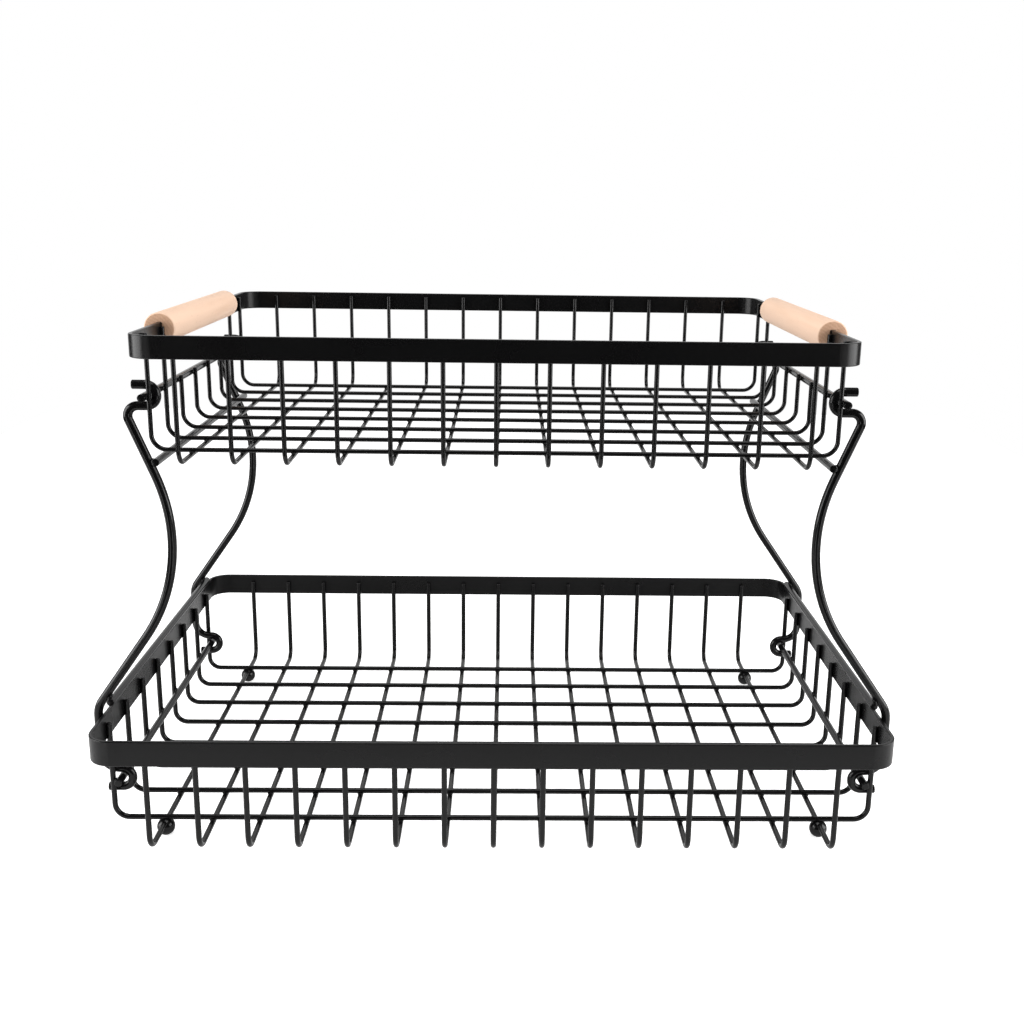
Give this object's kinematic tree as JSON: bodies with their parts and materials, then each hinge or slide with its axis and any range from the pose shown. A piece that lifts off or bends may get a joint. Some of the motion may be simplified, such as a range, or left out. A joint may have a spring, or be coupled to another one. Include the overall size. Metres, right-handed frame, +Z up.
{
  "type": "two-tier wire basket",
  "caption": "Two open wire grid baskets, the smaller held above the larger by hooked side frames, with round wooden grips on the upper rim and ball feet.",
  "frame": {"origin": "on the floor, under the middle of the baskets", "axes": "+X to the right along the width, +Y to the rear, +Z up"},
  "size_m": [0.4208, 0.272, 0.2737],
  "materials": {
    "black_strip": "satin black powder coat",
    "black_wire": "satin black powder coat",
    "black_feet": "smooth black coat",
    "beech": "pale turned beech, sanded, unvarnished"
  },
  "bodies": {
    "lower_basket": {"ball_feet": "black_feet", "lower_cross_wire_01": "black_wire", "lower_cross_wire_02": "black_wire", "lower_cross_wire_03": "black_wire", "lower_cross_wire_04": "black_wire", "lower_cross_wire_05": "black_wire", "lower_cross_wire_06": "black_wire", "lower_cross_wire_07": "black_wire", "lower_cross_wire_08": "black_wire", "lower_cross_wire_09": "black_wire", "lower_cross_wire_10": "black_wire", "lower_cross_wire_11": "black_wire", "lower_cross_wire_12": "black_wire", "lower_cross_wire_13": "black_wire", "lower_cross_wire_14": "black_wire", "lower_cross_wire_15": "black_wire", "lower_long_wire_1": "black_wire", "lower_long_wire_2": "black_wire", "lower_long_wire_3": "black_wire", "lower_long_wire_4": "black_wire", "lower_long_wire_5": "black_wire", "lower_long_wire_6": "black_wire", "lower_long_wire_7": "black_wire", "lower_long_wire_8": "black_wire", "lower_rim": "black_strip", "lower_side_rods": "black_wire"},
    "left_frame": {"left_front_leg": "black_wire", "left_lower_cross_rod": "black_wire", "left_rear_leg": "black_wire", "left_upper_cross_rod": "black_wire"},
    "right_frame": {"right_front_leg": "black_wire", "right_lower_cross_rod": "black_wire", "right_rear_leg": "black_wire", "right_upper_cross_rod": "black_wire"},
    "upper_basket": {"left_handle": "beech", "right_handle": "beech", "upper_cross_wire_01": "black_wire", "upper_cross_wire_02": "black_wire", "upper_cross_wire_03": "black_wire", "upper_cross_wire_04": "black_wire", "upper_cross_wire_05": "black_wire", "upper_cross_wire_06": "black_wire", "upper_cross_wire_07": "black_wire", "upper_cross_wire_08": "black_wire", "upper_cross_wire_09": "black_wire", "upper_cross_wire_10": "black_wire", "upper_cross_wire_11": "black_wire", "upper_cross_wire_12": "black_wire", "upper_cross_wire_13": "black_wire", "upper_long_wire_1": "black_wire", "upper_long_wire_2": "black_wire", "upper_long_wire_3": "black_wire", "upper_long_wire_4": "black_wire", "upper_long_wire_5": "black_wire", "upper_long_wire_6": "black_wire", "upper_long_wire_7": "black_wire", "upper_long_wire_8": "black_wire", "upper_rim": "black_strip", "upper_side_rods": "black_wire"}
  },
  "joints": [
    {"name": "upper_basket_sway", "type": "slide", "parent": "lower_basket", "child": "upper_basket", "axis": [1, 0, 0], "range_m": [-0.004, 0.004]},
    {"name": "left_frame_swing", "type": "hinge", "parent": "lower_basket", "child": "left_frame", "pos_m": [-0.1978, 0, 0.0307], "axis": [0, 1, 0], "range_deg": [-1.13, 1.13]},
    {"name": "right_frame_swing", "type": "hinge", "parent": "lower_basket", "child": "right_frame", "pos_m": [0.1978, 0, 0.0307], "axis": [0, 1, 0], "range_deg": [-1.13, 1.13]}
  ],
  "couplings": [
    {"joint": "left_frame_swing", "follows": "upper_basket_sway", "rad_per_m": 4.87},
    {"joint": "right_frame_swing", "follows": "upper_basket_sway", "rad_per_m": 4.87}
  ]
}
